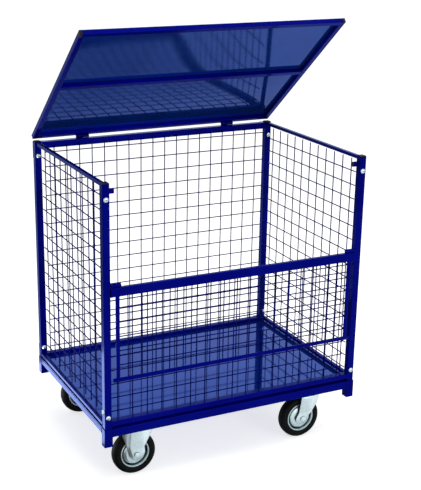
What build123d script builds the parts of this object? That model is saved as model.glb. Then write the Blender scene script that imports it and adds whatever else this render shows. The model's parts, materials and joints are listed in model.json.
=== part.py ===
from build123d import *
import os
from math import cos, radians, sin

os.makedirs("parts", exist_ok=True)

# Mesh roll container with a folded half gate and a raised lid.
# Millimetres, Z up, floor at z = 0, length along X, gate on the -Y side.

# Platform and posts
LENGTH = 1000.0         # over the corner sockets, along X
WIDTH = 700.0           # over the corner sockets, along Y
BASE_TUBE = 30.0        # square tube of the base frame
BASE_WALL = 2.0
BASE_END_TALL = 21.0    # lower tube at the two ends of the base frame
DECK_SHEET = 1.5
DECK_INSET = 1.0        # deck edge back from the base ends, and from the posts along Y
SOCKET_WALL = 2.0
SOCKET_DROP = 35.0      # socket below the base frame
SOCKET_FOOT = 3.0       # plate that closes the socket
POST = 25.0             # square post tube
POST_WALL = 1.5
POST_FIT = 0.5          # clearance between post and socket
WALL_HEIGHT = 855.0     # base top to the open top of the posts
TUBE_ROUND = 2.0        # rounded outer edge of every tube
CAP_RISE = 4.0          # post cap above the tube
CAP_INSET = 0.5
CAP_PLUG = 14.0

# Wall panels
PANEL_RAIL = 15.0       # width of the slim side rails, height of the rear bottom rail
RAIL_TALL = 12.5
SIDE_RAIL_LIFT = 8.0    # gap between the base top and the side walls
FRONT_RAIL = 18.0
FRONT_RAIL_LIFT = 10.0  # gap between the base top and the front rail
SILL_DEEP = 12.0        # strip under the front rail, set back from its face
PANEL_TUBE_WALL = 1.5
WIRE = 4.0
WIRE_LAP = 10.0         # upright end lying on a rail
ROW_LAP = 2.0           # row end lying on a post
WIRE_TOUCH = 0.1        # room for the weld between layers
MESH_LONG = 55.0        # uprights of the side and front walls, rows of the rear wall
MESH_SHORT = 50.0       # rows of the side and front walls, uprights of the rear wall
SIDE_EDGE = 18.0        # post to the first upright of a side wall, at least
WALL_EDGE = 25.0        # the same for the other walls and the gate
SIDE_ROW_DROP = 57.0    # post top to the first row of the side walls
REAR_ROW_DROP = 38.0    # post top to the first row of the rear wall
FRONT_ROW_DROP = 15.0   # bar to the first row of the fixed front wall
LOW_ROW_GAP = 12.0      # bottom rail to the lowest row, at least
EAR_THICK = 3.0
EAR_WIDE = 40.0         # along the rails
EAR_TALL = 62.0
EAR_SET_IN = 2.0        # ear edge back from the inner face of the post
EAR_EDGE = 1.0          # ear past the bolt head

# Folding front gate
GATE_SHARE = 0.3916     # pivot to free rail, as a share of the wall height
GATE_TOP_DROP = 7.7     # post top to the middle of the raised free rail
GATE_DEPTH = 15.0       # hinge rail, front to back
GATE_RAIL = 31.0        # hinge rail height
GATE_BAR = 14.0         # flat bar of the stiles and the free rail
GATE_BAR_THICK = 5.0
GATE_STAND_OUT = 2.5    # gate front ahead of the posts
GATE_END_GAP = 1.5      # hinge rail end to the post
GATE_STILE_INSET = 17.0  # stile back from the post
FREE_RAIL_GAP = 5.5     # free rail end to the post
GATE_PITCH = 51.0       # uprights and rows of the gate
GATE_ROW_DROP = 41.5    # hinge rail to the first gate row
GATE_KNUCKLE = 14.0     # hinge barrels on top of the hinge rail
GATE_BOSS = 13.5        # fixed part of each barrel, on the post
GATE_BARREL = 24.0      # turning part of each barrel, on the rail
BOSS_CLEAR = 0.5        # fixed part above the rail
PIN = 8.0
RUNNING_FIT = 0.05      # radial clearance of every turning joint
BAR_TALL = 20.0
BAR_RISE = 10.5         # fixed bar's top above the underside of the hinge rail
BAR_THICK = 3.0
LUG_LONG = 21.0
LUG_TALL = 17.0
LUG_DEEP = 10.5
LUG_DROP = 27.5         # post top to the middle of the lug
STOP_GAP = 0.3

# Lid
LID_OPEN = 40.0         # degrees up from closed in the rest pose
LID_TUBE = 20.0
LID_TALL = 15.0
LID_WALL = 1.5
LID_SHEET = 1.5
LID_MID_SHIFT = 8.0     # middle rail forward of the middle
LID_CAP = 10.0          # black corner blocks at the front of the lid
LID_SETBACK = 10.0      # closed front edge back from the post fronts
END_CAP = 2.5           # black plug heads in tube ends
HINGE_GAP = 13.0        # rear rail top to the closed lid
HINGE_LONG = 50.0
HINGE_SPACING = 610.0
HINGE_PIN = 7.0
KNUCKLE = 12.0

# Castors
WHEEL = 160.0
TYRE_WIDE = 40.0
RIM = 110.0
HEAD_ROOM = 37.0        # top of the wheel to the underside of the base
CASTOR_INSET_X = 140.0  # plate centre back from the platform end
CASTOR_INSET_Y = 85.0
PLATE_X = 135.0
PLATE_Y = 110.0
PLATE_SHEET = 4.0
PLATE_BOLTS_X = 105.0
PLATE_BOLTS_Y = 80.0
FORK_SHEET = 4.0
FORK_SIDE_GAP = 3.0     # tyre to fork leg
FORK_TOP = 128.0        # width of the leg under the bolt heads
FORK_WAIST = 72.0
FORK_WAIST_RISE = 36.0  # axle to the waist of the leg
FORK_END = 23.0         # radius of the leg round the axle
FORK_BEND_RISE = 24.0   # axle to where the leg starts to lean out
FORK_LEAN = 0.2         # lean outwards per millimetre of height
PRESS = 5.0             # panel pressed outwards in each leg
PRESS_WIDE = 40.0
TRAIL = 44.0            # swivel axis to axle
AXLE = 12.0
HOUSING = 76.0
HOUSING_TALL = 8.0
CROWN = 68.0
CROWN_BACK = 54.0       # swivel axis to the trailing edge of the fork
CROWN_FRONT = 21.0      # swivel axis to the leading edge of the legs
CROWN_TALL = 6.0
CUP_TALL = 4.0
RACE_GAP = 1.0

# Fasteners
BOLT = 8.0
BOLT_HOLE = 8.4
BOLT_DOME = 18.0
BOLT_DOME_TALL = 5.0
BOLT_TAIL = 2.0
UPPER_BOLT_DROP = 51.0  # post top to the upper panel bolts
LOWER_BOLT_RISE = 43.0  # base top to the lower panel bolts
SIDE_BOLT_RISE = 63.0   # base top to the sideways bolts of the front posts
CASTOR_BOLT = 10.0
CASTOR_BOLT_HOLE = 10.5

# Levels and lines that follow from the sizes above
UNDERSIDE = WHEEL + HEAD_ROOM
BASE_TOP = UNDERSIDE + BASE_TUBE
POST_TOP = BASE_TOP + WALL_HEIGHT
SOCKET = POST + 2 * (POST_FIT + SOCKET_WALL)
SOCKET_LOW = UNDERSIDE - SOCKET_DROP
POST_X = (LENGTH - SOCKET) / 2
POST_Y = (WIDTH - SOCKET) / 2
IN_X = POST_X - POST / 2
IN_Y = POST_Y - POST / 2
OUT_X = POST_X + POST / 2
OUT_Y = POST_Y + POST / 2
RAIL_TOP = BASE_TOP + PANEL_RAIL
FRONT_RAIL_TOP = BASE_TOP + FRONT_RAIL_LIFT + FRONT_RAIL
SIDE_RAIL_TOP = BASE_TOP + SIDE_RAIL_LIFT + RAIL_TALL
UPPER_BOLT_Z = POST_TOP - UPPER_BOLT_DROP
LOWER_BOLT_Z = BASE_TOP + LOWER_BOLT_RISE
SIDE_BOLT_Z = BASE_TOP + SIDE_BOLT_RISE
CASTOR_X = LENGTH / 2 - CASTOR_INSET_X
CASTOR_Y = WIDTH / 2 - CASTOR_INSET_Y
AXLE_Z = WHEEL / 2

GATE_REACH = WALL_HEIGHT * GATE_SHARE
GATE_Z = POST_TOP - GATE_TOP_DROP - GATE_REACH
GATE_Y = -OUT_Y - GATE_STAND_OUT + GATE_DEPTH / 2
GATE_END = IN_X - GATE_END_GAP
GATE_FRONT = -OUT_Y - GATE_STAND_OUT
STILE_X = IN_X - GATE_STILE_INSET - GATE_BAR / 2
FREE_RAIL_TOP = GATE_Z - GATE_REACH + GATE_BAR / 2
HINGE_RAIL_LOW = GATE_Z - GATE_KNUCKLE / 2 - GATE_RAIL
BAR_TOP = HINGE_RAIL_LOW + BAR_RISE

HINGE_Z = POST_TOP + HINGE_GAP / 2
HINGE_Y = OUT_Y - HINGE_GAP / 2
LID_LOW = POST_TOP + HINGE_GAP
LID_FRONT = -OUT_Y + LID_SETBACK

# The frame's origin is the middle of the whole box on the floor
LID_BACK = OUT_Y - HINGE_Y
LID_HIGH = LID_LOW + LID_TALL + LID_SHEET - HINGE_Z
REACH_BACK = HINGE_Y + LID_BACK * cos(radians(LID_OPEN)) + LID_HIGH * sin(radians(LID_OPEN))
REACH_FRONT = OUT_Y + BOLT_DOME_TALL
SHIFT = Pos(0, (REACH_FRONT - REACH_BACK) / 2, 0)

ALONG_X = Rot(0, 90, 0)
ALONG_Y = Rot(-90, 0, 0)
SIDES = (-1, 1)
CORNERS = [(sx, sy) for sx in SIDES for sy in SIDES]


def save(node, solids):
    shape = solids[0] if len(solids) == 1 else Compound(solids)
    export_step(SHIFT * shape, f"parts/{node}.step")


def tube(plane, across, up, wall, length):
    """Tube with rounded outer edges, centred, running along the plane's normal."""
    ring = RectangleRounded(across, up, TUBE_ROUND) - Rectangle(across - 2 * wall, up - 2 * wall)
    return extrude(plane * ring, amount=length / 2, both=True)


def spread(pitch, clear, edge):
    """Positions of a centred row of wires in a clear width, an edge left at both ends."""
    count = int((clear - 2 * edge) / pitch) + 1
    return [(i - (count - 1) / 2) * pitch for i in range(count)]


def steps_down(first, pitch, lowest):
    """Row heights from the first one down to the lowest allowed."""
    count = int((first - lowest) / pitch) + 1
    return [first - i * pitch for i in range(count)]


def wire_panel(columns, rows, half_row, low, high, row_y, column_y):
    """Rows along X in one layer, uprights along Z in the next."""
    flat = [Pos(0, row_y, z) * ALONG_X * Cylinder(WIRE / 2, 2 * half_row) for z in rows]
    upright = [Pos(x, column_y, (low + high) / 2) * Cylinder(WIRE / 2, high - low) for x in columns]
    return flat + upright


def hexagon(across_flats, thick, bore):
    """Hexagon along Z, standing on z = 0."""
    outline = RegularPolygon(across_flats / 2, 6, major_radius=False)
    if bore > 0:
        outline -= Circle(bore / 2)
    return extrude(outline, amount=thick)


def carriage_bolt(grip):
    """Domed bolt along Z: head above z = 0, shank below."""
    dome = BOLT_DOME / 2
    end = grip + BOLT * 0.8 + BOLT_TAIL
    outline = Polygon(
        (0, BOLT_DOME_TALL),
        (dome * 0.45, BOLT_DOME_TALL * 0.88),
        (dome * 0.82, BOLT_DOME_TALL * 0.5),
        (dome, 0),
        (BOLT / 2, 0),
        (BOLT / 2, -end),
        (0, -end),
        align=None,
    )
    return revolve(Plane.XZ * outline, Axis.Z)


def bolt_nut(grip):
    return Pos(0, 0, -grip - BOLT * 0.8) * hexagon(BOLT * 1.6, BOLT * 0.8, BOLT)


def plug(across, up, wall, deep, head_tall):
    """Tube end cap: head on z = 0 and above, plug below."""
    head = extrude(RectangleRounded(across, up, TUBE_ROUND), amount=head_tall)
    inside = Rectangle(across - 2 * wall - POST_FIT, up - 2 * wall - POST_FIT)
    return head + extrude(inside, amount=-deep)


# Base frame
base_z = UNDERSIDE + BASE_TUBE / 2
long_rail = tube(Plane.YZ, BASE_TUBE, BASE_TUBE, BASE_WALL, LENGTH - 2 * SOCKET)
save("base_long_rails", [Pos(0, s * (WIDTH - BASE_TUBE) / 2, base_z) * long_rail for s in SIDES])
end_rail = tube(Plane.XZ, BASE_TUBE, BASE_END_TALL, BASE_WALL, WIDTH - 2 * SOCKET)
end_z = BASE_TOP - BASE_END_TALL / 2
save("base_end_rails", [Pos(s * (LENGTH - BASE_TUBE) / 2, 0, end_z) * end_rail for s in SIDES])

cross_member = tube(Plane.XZ, BASE_TUBE, BASE_TUBE, BASE_WALL, WIDTH - 2 * BASE_TUBE)
for sy in SIDES:
    for by in SIDES:
        hole_y = sy * CASTOR_Y + by * PLATE_BOLTS_Y / 2
        cross_member -= Pos(0, hole_y, -BASE_TUBE / 2) * Cylinder(CASTOR_BOLT_HOLE / 2, BASE_TUBE / 2)
cross_x = [s * CASTOR_X + b * PLATE_BOLTS_X / 2 for s in SIDES for b in SIDES]
save("base_cross_members", [Pos(x, 0, base_z) * cross_member for x in cross_x])

deck = Rectangle(LENGTH - 2 * DECK_INSET, 2 * (IN_Y - DECK_INSET))
notch = SOCKET + 2 * POST_FIT
for sx, sy in CORNERS:
    deck -= Pos(sx * LENGTH / 2, sy * WIDTH / 2) * Rectangle(2 * notch, 2 * notch)
save("deck_sheet", [Pos(0, 0, BASE_TOP) * extrude(deck, amount=DECK_SHEET)])

socket_tall = BASE_TOP - SOCKET_LOW
socket = tube(Plane.XY, SOCKET, SOCKET, SOCKET_WALL, socket_tall)
socket_inner = SOCKET - 2 * SOCKET_WALL
foot = Box(socket_inner, socket_inner, SOCKET_FOOT)
socket += Pos(0, 0, (SOCKET_FOOT - socket_tall) / 2) * foot
socket_z = (SOCKET_LOW + BASE_TOP) / 2
save("corner_sockets", [Pos(sx * POST_X, sy * POST_Y, socket_z) * socket for sx, sy in CORNERS])

# Posts, drilled front to back for the panel bolts
post_low = SOCKET_LOW + SOCKET_FOOT
post_mid = (post_low + POST_TOP) / 2
rear_post = Pos(0, 0, post_mid) * tube(Plane.XY, POST, POST, POST_WALL, POST_TOP - post_low)
for z in (UPPER_BOLT_Z, LOWER_BOLT_Z):
    rear_post -= Pos(0, 0, z) * ALONG_Y * Cylinder(BOLT_HOLE / 2, 2 * POST)
save("rear_posts", [Pos(s * POST_X, POST_Y, 0) * rear_post for s in SIDES])
front_posts = []
for s in SIDES:
    side_hole = Pos(s * POST / 2, 0, SIDE_BOLT_Z) * ALONG_X * Cylinder(BOLT_HOLE / 2, POST / 2)
    front_posts.append(Pos(s * POST_X, -POST_Y, 0) * (rear_post - side_hole))
save("front_posts", front_posts)

# Post caps: flat heads with a plug in the tube
cap_base = POST - 2 * CAP_INSET
cap = extrude(RectangleRounded(cap_base, cap_base, TUBE_ROUND), amount=CAP_RISE)
cap = chamfer(cap.faces().sort_by(Axis.Z)[-1].edges(), CAP_RISE * 0.4)
cap_plug = POST - 2 * POST_WALL - POST_FIT
cap += extrude(Rectangle(cap_plug, cap_plug), amount=-CAP_PLUG)
save("post_caps", [Pos(sx * POST_X, sy * POST_Y, POST_TOP) * cap for sx, sy in CORNERS])

# Side, rear and front rails
side_rail = tube(Plane.XZ, PANEL_RAIL, RAIL_TALL, PANEL_TUBE_WALL, 2 * IN_Y)
save("side_top_rails", [Pos(s * POST_X, 0, POST_TOP - RAIL_TALL / 2) * side_rail for s in SIDES])
side_low_x = OUT_X - PANEL_RAIL / 2
side_low_z = SIDE_RAIL_TOP - RAIL_TALL / 2
save("side_bottom_rails", [Pos(s * side_low_x, 0, side_low_z) * side_rail for s in SIDES])
rear_top = tube(Plane.YZ, POST, POST, PANEL_TUBE_WALL, 2 * IN_X)
save("rear_top_rail", [Pos(0, POST_Y, POST_TOP - POST / 2) * rear_top])
low_z = RAIL_TOP - PANEL_RAIL / 2
rear_low = tube(Plane.YZ, POST, PANEL_RAIL, PANEL_TUBE_WALL, 2 * IN_X)
save("rear_bottom_rail", [Pos(0, POST_Y, low_z) * rear_low])
front_low = tube(Plane.YZ, POST, FRONT_RAIL, PANEL_TUBE_WALL, 2 * IN_X)
front_low = Pos(0, 0, FRONT_RAIL_TOP - FRONT_RAIL / 2) * front_low
front_sill = Box(2 * IN_X, SILL_DEEP, FRONT_RAIL_LIFT)
front_sill = Pos(0, (POST - SILL_DEEP) / 2, BASE_TOP + FRONT_RAIL_LIFT / 2) * front_sill
save("front_bottom_rail", [Pos(0, -POST_Y, 0) * (front_low + front_sill)])
bar = Box(2 * IN_X, BAR_THICK, BAR_TALL)
bar_y = -IN_Y - ROW_LAP - WIRE_TOUCH - BAR_THICK / 2
save("front_top_bar", [Pos(0, bar_y, BAR_TOP - BAR_TALL / 2) * bar])

# Welded wire walls: at the sides, rows on the posts and uprights on the rows;
# at the front and rear, uprights on the rails and rows on the uprights
layer_one = WIRE_TOUCH + WIRE / 2
layer_two = layer_one + WIRE + WIRE_TOUCH
wire_low = RAIL_TOP - WIRE_LAP
lowest_row = RAIL_TOP + LOW_ROW_GAP
short_row = IN_X - layer_two - WIRE
side_wall = wire_panel(
    spread(MESH_LONG, 2 * IN_Y, SIDE_EDGE),
    steps_down(POST_TOP - SIDE_ROW_DROP, MESH_SHORT, SIDE_RAIL_TOP + LOW_ROW_GAP),
    IN_Y + ROW_LAP,
    SIDE_RAIL_TOP - RAIL_TALL / 2,
    POST_TOP - RAIL_TALL / 2,
    IN_X - layer_one,
    IN_X - layer_two,
)
save("left_mesh", [Rot(0, 0, 90) * wire for wire in side_wall])
save("right_mesh", [Rot(0, 0, -90) * wire for wire in side_wall])
rear_wall = wire_panel(
    spread(MESH_SHORT, 2 * IN_X, WALL_EDGE),
    steps_down(POST_TOP - REAR_ROW_DROP, MESH_LONG, lowest_row),
    short_row,
    wire_low,
    POST_TOP - POST + WIRE_LAP,
    IN_Y - layer_two,
    IN_Y - layer_one,
)
save("rear_mesh", rear_wall)
front_wall = wire_panel(
    spread(MESH_LONG, 2 * IN_X, WALL_EDGE),
    steps_down(BAR_TOP - BAR_TALL - FRONT_ROW_DROP, MESH_SHORT, FRONT_RAIL_TOP + LOW_ROW_GAP),
    short_row,
    FRONT_RAIL_TOP - WIRE_LAP,
    BAR_TOP - WIRE_LAP / 2,
    -IN_Y + layer_two,
    -IN_Y + layer_one,
)
save("front_mesh", front_wall)

# Flat ears that bolt the rear panel to the posts, hidden behind post and rail
ears = []
ear_hole = ALONG_Y * Cylinder(BOLT_HOLE / 2, 4 * EAR_THICK)
ear_y = OUT_Y + EAR_THICK / 2
ear_narrow = POST - EAR_SET_IN
ear_low = RAIL_TOP - PANEL_RAIL
ear_low_tall = LOWER_BOLT_Z + BOLT_DOME / 2 + EAR_EDGE - ear_low
for s in SIDES:
    wide_x = s * (OUT_X - EAR_WIDE / 2)
    narrow_x = s * (OUT_X - ear_narrow / 2)
    upper = Pos(narrow_x, ear_y, POST_TOP - EAR_TALL / 2) * Box(ear_narrow, EAR_THICK, EAR_TALL)
    upper += Pos(wide_x, ear_y, POST_TOP - POST / 2) * Box(EAR_WIDE, EAR_THICK, POST)
    lower = Pos(narrow_x, ear_y, ear_low + ear_low_tall / 2) * Box(ear_narrow, EAR_THICK, ear_low_tall)
    lower += Pos(wide_x, ear_y, low_z) * Box(EAR_WIDE, EAR_THICK, PANEL_RAIL)
    ears.append(upper - Pos(s * POST_X, ear_y, UPPER_BOLT_Z) * ear_hole)
    ears.append(lower - Pos(s * POST_X, ear_y, LOWER_BOLT_Z) * ear_hole)
save("rear_panel_ears", ears)

# Panel bolts and nuts
bolts = []
nuts = []
for s in SIDES:
    for z in (UPPER_BOLT_Z, LOWER_BOLT_Z):
        for face_y, grip in ((-OUT_Y, POST), (IN_Y, POST + EAR_THICK)):
            seat = Pos(s * POST_X, face_y, z) * Rot(90, 0, 0)
            bolts.append(seat * carriage_bolt(grip))
            nuts.append(seat * bolt_nut(grip))
    seat = Pos(s * OUT_X, -POST_Y, SIDE_BOLT_Z) * Rot(0, s * 90, 0)
    bolts.append(seat * carriage_bolt(POST_WALL))
    nuts.append(seat * bolt_nut(POST_WALL))
save("panel_bolts", bolts)
save("panel_nuts", nuts)

# Gate stops on the posts: short tubes with black end plugs
lugs = []
lug_caps = []
lug_y = GATE_Y + GATE_DEPTH / 2 + STOP_GAP + LUG_DEEP / 2
lug_z = POST_TOP - LUG_DROP
lug_tube = tube(Plane.YZ, LUG_DEEP, LUG_TALL, PANEL_TUBE_WALL, LUG_LONG - END_CAP)
lug_plug = plug(LUG_TALL, LUG_DEEP, PANEL_TUBE_WALL, LUG_LONG / 2, END_CAP)
for s in SIDES:
    lugs.append(Pos(s * (IN_X - (LUG_LONG - END_CAP) / 2), lug_y, lug_z) * lug_tube)
    lug_caps.append(Pos(s * (IN_X - LUG_LONG + END_CAP), lug_y, lug_z) * Rot(0, -s * 90, 0) * lug_plug)
save("gate_lugs", lugs)
save("gate_lug_caps", lug_caps)

# Gate hinges: bosses with pins on the posts, barrels on top of the hinge rail
pin_long = GATE_BOSS + STOP_GAP + GATE_BARREL
boss = Pos(-GATE_BOSS / 2, 0, 0) * ALONG_X * Cylinder(GATE_KNUCKLE / 2 - BOSS_CLEAR, GATE_BOSS)
boss += Pos(-pin_long / 2, 0, 0) * ALONG_X * Cylinder(PIN / 2, pin_long)
gate_barrel = ALONG_X * Cylinder(GATE_KNUCKLE / 2, GATE_BARREL)
gate_barrel += Pos(0, 0, -GATE_KNUCKLE / 4) * Box(GATE_BARREL, GATE_KNUCKLE * 2 / 3, GATE_KNUCKLE / 2)
gate_barrel -= ALONG_X * Cylinder(PIN / 2 + RUNNING_FIT, 2 * GATE_BARREL)
bosses = [Pos(IN_X, GATE_Y, GATE_Z) * boss]
bosses.append(mirror(bosses[0], Plane.YZ))
save("gate_hinge_bosses", bosses)
barrel_x = IN_X - pin_long + GATE_BARREL / 2
save("gate_hinge_barrels", [Pos(s * barrel_x, GATE_Y, GATE_Z) * gate_barrel for s in SIDES])

# Gate: hinge rail, flat bar stiles and free rail, and its own wire panel
hinge_rail = tube(Plane.YZ, GATE_DEPTH, GATE_RAIL, PANEL_TUBE_WALL, 2 * GATE_END)
save("gate_hinge_rail", [Pos(0, GATE_Y, HINGE_RAIL_LOW + GATE_RAIL / 2) * hinge_rail])
stile_tall = HINGE_RAIL_LOW - FREE_RAIL_TOP
stile_z = (HINGE_RAIL_LOW + FREE_RAIL_TOP) / 2
gate_bar_y = GATE_FRONT + GATE_BAR_THICK / 2
stile = Box(GATE_BAR, GATE_BAR_THICK, stile_tall)
save("gate_stiles", [Pos(s * STILE_X, gate_bar_y, stile_z) * stile for s in SIDES])
free_rail = Box(2 * (IN_X - FREE_RAIL_GAP), GATE_BAR_THICK, GATE_BAR)
save("gate_free_rail", [Pos(0, gate_bar_y, GATE_Z - GATE_REACH) * free_rail])
gate_clear = 2 * STILE_X - GATE_BAR
gate_back = GATE_FRONT + GATE_BAR_THICK
gate_wall = wire_panel(
    spread(GATE_PITCH, gate_clear, WALL_EDGE),
    steps_down(HINGE_RAIL_LOW - GATE_ROW_DROP, GATE_PITCH, FREE_RAIL_TOP + GATE_PITCH / 2),
    gate_clear / 2 + WIRE_LAP,
    FREE_RAIL_TOP - WIRE_LAP,
    HINGE_RAIL_LOW,
    gate_back + layer_one,
    gate_back + layer_two,
)
save("gate_mesh", gate_wall)

# Lid, drawn closed and then swung open about its hinge line
SWING = Pos(0, HINGE_Y, HINGE_Z) * Rot(-LID_OPEN, 0, 0) * Pos(0, -HINGE_Y, -HINGE_Z)
lid_z = LID_LOW + LID_TALL / 2
lid_side_x = OUT_X - LID_TUBE / 2
lid_front_y = LID_FRONT + LID_TUBE / 2
lid_front = tube(Plane.YZ, LID_TUBE, LID_TALL, LID_WALL, 2 * (OUT_X - LID_CAP))
save("lid_front_rail", [SWING * Pos(0, lid_front_y, lid_z) * lid_front])
lid_rear = tube(Plane.YZ, LID_TUBE, LID_TALL, LID_WALL, 2 * (OUT_X - LID_TUBE))
save("lid_rear_rail", [SWING * Pos(0, OUT_Y - LID_TUBE / 2, lid_z) * lid_rear])
side_from = LID_FRONT + LID_TUBE
side_to = OUT_Y - END_CAP
lid_side = tube(Plane.XZ, LID_TUBE, LID_TALL, LID_WALL, side_to - side_from)
lid_side_y = (side_from + side_to) / 2
save("lid_side_rails", [SWING * Pos(s * lid_side_x, lid_side_y, lid_z) * lid_side for s in SIDES])
lid_mid_y = (LID_FRONT + OUT_Y) / 2
save("lid_mid_rail", [SWING * Pos(0, lid_mid_y - LID_MID_SHIFT, lid_z) * lid_rear])
lid_sheet = Box(2 * OUT_X, OUT_Y - LID_FRONT, LID_SHEET)
save("lid_sheet", [SWING * Pos(0, lid_mid_y, LID_LOW + LID_TALL + LID_SHEET / 2) * lid_sheet])
front_plug = plug(LID_TALL, LID_TUBE, LID_WALL, CAP_PLUG, LID_CAP)
rear_plug = plug(LID_TUBE, LID_TALL, LID_WALL, CAP_PLUG, END_CAP)
lid_caps = []
for s in SIDES:
    front_end = Pos(s * (OUT_X - LID_CAP), lid_front_y, lid_z) * Rot(0, s * 90, 0)
    rear_end = Pos(s * lid_side_x, side_to, lid_z) * Rot(-90, 0, 0)
    lid_caps.append(SWING * front_end * front_plug)
    lid_caps.append(SWING * rear_end * rear_plug)
save("lid_caps", lid_caps)

# Weld-on barrel hinges: the lower half carries the pin, the upper half turns on it
half_long = HINGE_LONG / 2 - STOP_GAP / 2
foot_wide = KNUCKLE * 2 / 3
knuckle_foot = Box(half_long, foot_wide, HINGE_GAP / 2)
barrel = ALONG_X * Cylinder(KNUCKLE / 2, half_long)
lower_half = barrel + Pos(0, 0, -HINGE_GAP / 4) * knuckle_foot
lower_half += Pos((HINGE_LONG - half_long) / 2, 0, 0) * ALONG_X * Cylinder(HINGE_PIN / 2, HINGE_LONG)
upper_half = barrel + Pos(0, 0, HINGE_GAP / 4) * knuckle_foot
upper_half -= ALONG_X * Cylinder(HINGE_PIN / 2 + RUNNING_FIT, 2 * HINGE_LONG)
lower_halves = []
upper_halves = []
for s in SIDES:
    centre = s * HINGE_SPACING / 2
    lower_halves.append(Pos(centre - (HINGE_LONG - half_long) / 2, HINGE_Y, HINGE_Z) * lower_half)
    upper_halves.append(SWING * Pos(centre + (HINGE_LONG - half_long) / 2, HINGE_Y, HINGE_Z) * upper_half)
save("lid_hinge_lower_halves", lower_halves)
save("lid_hinge_upper_halves", upper_halves)

# Castor plates with their bolts, heads below and nuts inside the cross members
plate_under = UNDERSIDE - PLATE_SHEET
castor_plate = Pos(0, 0, UNDERSIDE - PLATE_SHEET / 2) * Box(PLATE_X, PLATE_Y, PLATE_SHEET)
castor_plate = fillet(castor_plate.edges().filter_by(Axis.Z), PLATE_SHEET * 2)
castor_bolts = []
castor_nuts = []
grip = PLATE_SHEET + BASE_WALL
castor_bolt = Pos(0, 0, -CASTOR_BOLT * 0.65) * hexagon(CASTOR_BOLT * 1.6, CASTOR_BOLT * 0.65, 0)
shank = grip + CASTOR_BOLT * 0.8 + BOLT_TAIL
castor_bolt += Pos(0, 0, shank / 2) * Cylinder(CASTOR_BOLT / 2, shank)
castor_nut = Pos(0, 0, grip) * hexagon(CASTOR_BOLT * 1.6, CASTOR_BOLT * 0.8, CASTOR_BOLT)
for bx in SIDES:
    for by in SIDES:
        spot = Pos(bx * PLATE_BOLTS_X / 2, by * PLATE_BOLTS_Y / 2, plate_under)
        castor_plate -= spot * Cylinder(CASTOR_BOLT_HOLE / 2, 4 * PLATE_SHEET)
        for sx, sy in CORNERS:
            castor_bolts.append(Pos(sx * CASTOR_X, sy * CASTOR_Y, 0) * spot * castor_bolt)
            castor_nuts.append(Pos(sx * CASTOR_X, sy * CASTOR_Y, 0) * spot * castor_nut)
save("castor_bolts", castor_bolts)
save("castor_nuts", castor_nuts)

# Fork legs: bent sheet that leans out towards the top, cut to an outline that narrows to a
# round end, each with a panel pressed outwards
leg_inside = TYRE_WIDE / 2 + FORK_SIDE_GAP
leg_outside = leg_inside + FORK_SHEET
bend_z = AXLE_Z + FORK_BEND_RISE


def bent_sheet(near, far, top):
    """Sheet between two distances from the wheel: upright, then leaning out above the bend."""
    lean = (top - bend_z) * FORK_LEAN
    side = Polygon(
        (-far, 0),
        (-near, 0),
        (-near, bend_z),
        (-near - lean, top),
        (-far - lean, top),
        (-far, bend_z),
        align=None,
    )
    return extrude(Plane.YZ * side, amount=PLATE_X, both=True)


def fork_legs(outline, panel, axle_x, top):
    """Two mirrored legs from the XZ outlines of the leg and of its pressed panel."""
    outline = outline + Pos(axle_x, AXLE_Z) * Circle(FORK_END)
    leg = bent_sheet(leg_inside, leg_outside, top) & extrude(Plane.XZ * outline, amount=PLATE_Y)
    leg += bent_sheet(leg_outside, leg_outside + PRESS, top) & extrude(Plane.XZ * panel, amount=PLATE_Y)
    pair = leg + mirror(leg, Plane.XZ)
    bore = AXLE / 2 + RUNNING_FIT
    return pair - Pos(axle_x, 0, AXLE_Z) * ALONG_Y * Cylinder(bore, 4 * leg_outside)


waist_z = AXLE_Z + FORK_WAIST_RISE
notch_z = plate_under - CASTOR_BOLT * 0.65 - STOP_GAP
bolt_room = PLATE_BOLTS_X / 2 - CASTOR_BOLT
panel_low = AXLE_Z - FORK_END * 0.65
rigid_outline = Polygon(
    (-FORK_WAIST / 2, waist_z),
    (-FORK_END, AXLE_Z),
    (FORK_END, AXLE_Z),
    (FORK_WAIST / 2, waist_z),
    (FORK_TOP / 2, notch_z),
    (bolt_room, notch_z),
    (bolt_room, plate_under),
    (-bolt_room, plate_under),
    (-bolt_room, notch_z),
    (-FORK_TOP / 2, notch_z),
    align=None,
)
rigid_panel = Polygon(
    (-PRESS_WIDE / 2, AXLE_Z),
    (-FORK_END * 0.6, panel_low),
    (FORK_END * 0.6, panel_low),
    (PRESS_WIDE / 2, AXLE_Z),
    (PRESS_WIDE / 2, plate_under - FORK_SHEET),
    (-PRESS_WIDE / 2, plate_under - FORK_SHEET),
    align=None,
)
rigid_fork = castor_plate + fork_legs(rigid_outline, rigid_panel, 0, plate_under)
save("rigid_forks", [Pos(-CASTOR_X, s * CASTOR_Y, 0) * rigid_fork for s in SIDES])

# Swivel head: plate with a race housing, kingpin, and a fork trailing behind the swivel line
housing_low = plate_under - HOUSING_TALL
housing_shape = Polygon(
    (AXLE / 2, housing_low),
    (HOUSING / 2 - 4, housing_low),
    (HOUSING / 2, housing_low + 4),
    (HOUSING / 2, plate_under),
    (AXLE / 2, plate_under),
    align=None,
)
swivel_plate = castor_plate - Pos(0, 0, plate_under) * Cylinder(AXLE / 2, 4 * PLATE_SHEET)
swivel_plate += revolve(Plane.XZ * housing_shape, Axis.Z)
save("swivel_plates", [Pos(CASTOR_X, s * CASTOR_Y, 0) * swivel_plate for s in SIDES])
crown_top = housing_low - RACE_GAP - CUP_TALL
crown_low = crown_top - CROWN_TALL
nut_low = crown_low - AXLE * 0.6 - RACE_GAP
kingpin = Pos(0, 0, (nut_low + UNDERSIDE) / 2) * Cylinder(AXLE / 2, UNDERSIDE - nut_low)
kingpin += Pos(0, 0, nut_low) * hexagon(AXLE * 1.5, AXLE * 0.6, 0)
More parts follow.
